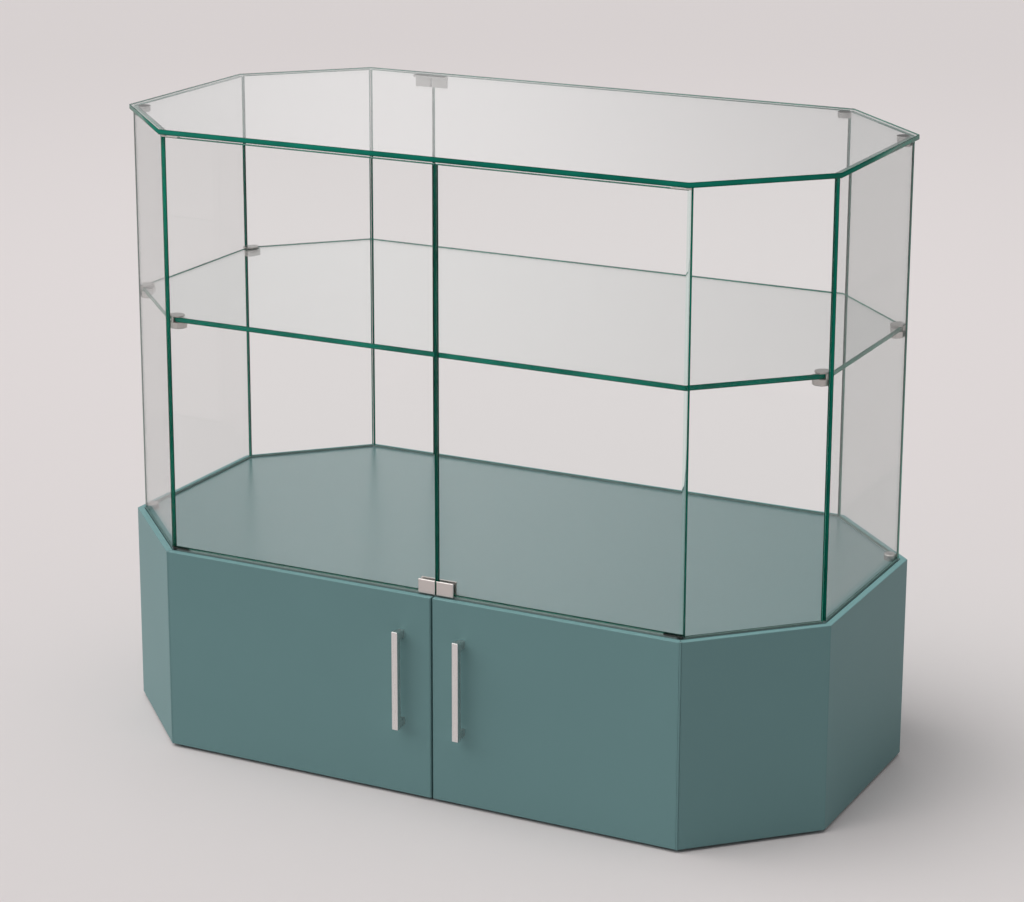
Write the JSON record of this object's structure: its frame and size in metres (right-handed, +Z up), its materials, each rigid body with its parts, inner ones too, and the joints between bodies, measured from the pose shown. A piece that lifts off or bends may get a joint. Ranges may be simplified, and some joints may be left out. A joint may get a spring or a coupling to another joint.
{
  "type": "octagonal display case",
  "caption": "Free-standing octagonal glass display case on a painted cupboard base, with hinged glass doors above and hinged cupboard doors with bar handles below.",
  "frame": {"origin": "middle of the octagonal plan, on the floor under the middle glide", "axes": "+X to the right along the front, +Y from the doors to the back, +Z up"},
  "size_m": [1.2, 0.682, 0.99],
  "materials": {
    "satin_paint": "satin grey-teal paint on board",
    "clear_glass": "clear float glass with polished green edges",
    "satin_nickel": "satin nickel",
    "brushed_steel": "brushed stainless steel",
    "zinc_steel": "zinc plated steel",
    "dark_plastic": "moulded dark plastic",
    "dark_strip": "dark setting strip",
    "beech": "plain beech"
  },
  "bodies": {
    "case": {"bottom_board": "satin_paint", "deck_board": "satin_paint", "left_side_panel": "satin_paint", "right_side_panel": "satin_paint", "front_left_corner_panel": "satin_paint", "front_right_corner_panel": "satin_paint", "rear_left_corner_panel": "satin_paint", "rear_right_corner_panel": "satin_paint", "back_panel": "satin_paint", "front_rail": "satin_paint", "left_side_glass": "clear_glass", "right_side_glass": "clear_glass", "front_left_corner_glass": "clear_glass", "front_right_corner_glass": "clear_glass", "rear_left_corner_glass": "clear_glass", "rear_right_corner_glass": "clear_glass", "rear_glass_left": "clear_glass", "rear_glass_right": "clear_glass", "top_glass": "clear_glass", "shelf_glass": "clear_glass", "shelf_bracket_bodies": "satin_nickel", "shelf_bracket_caps": "satin_nickel", "corner_clips": "satin_nickel", "rear_top_clips": "satin_nickel", "top_pivot_cups": "satin_nickel", "left_hinge_fixed_leaf": "zinc_steel", "right_hinge_fixed_leaf": "zinc_steel", "left_hinge_pin": "zinc_steel", "right_hinge_pin": "zinc_steel", "hinge_fixed_screws": "zinc_steel", "shelf_bracket_screws": "zinc_steel", "glides": "dark_plastic", "cabinet_catch": "dark_plastic", "glass_catch": "dark_plastic", "deck_bushes": "dark_plastic", "setting_strips": "dark_strip", "carcass_dowels": "beech"},
    "left_cabinet_leaf": {"left_cabinet_door": "satin_paint", "left_hinge_door_leaf": "zinc_steel", "left_hinge_door_screws": "zinc_steel", "left_handle": "brushed_steel", "left_handle_screws": "zinc_steel", "left_strike_plate": "zinc_steel"},
    "right_cabinet_leaf": {"right_cabinet_door": "satin_paint", "right_hinge_door_leaf": "zinc_steel", "right_hinge_door_screws": "zinc_steel", "right_handle": "brushed_steel", "right_handle_screws": "zinc_steel", "right_strike_plate": "zinc_steel"},
    "left_glass_leaf": {"left_glass_door": "clear_glass", "left_door_bottom_pivot": "satin_nickel", "left_door_top_pivot": "satin_nickel", "left_door_patch": "satin_nickel", "left_patch_screw": "zinc_steel"},
    "right_glass_leaf": {"right_glass_door": "clear_glass", "right_door_bottom_pivot": "satin_nickel", "right_door_top_pivot": "satin_nickel", "right_door_patch": "satin_nickel", "right_patch_screw": "zinc_steel"}
  },
  "joints": [
    {"name": "left_cabinet_hinge", "type": "hinge", "parent": "case", "child": "left_cabinet_leaf", "pos_m": [-0.43417, -0.328, 0.165], "axis": [0, 0, -1], "range_deg": [0, 105]},
    {"name": "right_cabinet_hinge", "type": "hinge", "parent": "case", "child": "right_cabinet_leaf", "pos_m": [0.43417, -0.328, 0.165], "axis": [0, 0, 1], "range_deg": [0, 105]},
    {"name": "left_glass_hinge", "type": "hinge", "parent": "case", "child": "left_glass_leaf", "pos_m": [-0.42858, -0.3145, 0.65], "axis": [0, 0, -1], "range_deg": [0, 110]},
    {"name": "right_glass_hinge", "type": "hinge", "parent": "case", "child": "right_glass_leaf", "pos_m": [0.42858, -0.3145, 0.65], "axis": [0, 0, 1], "range_deg": [0, 110]}
  ]
}
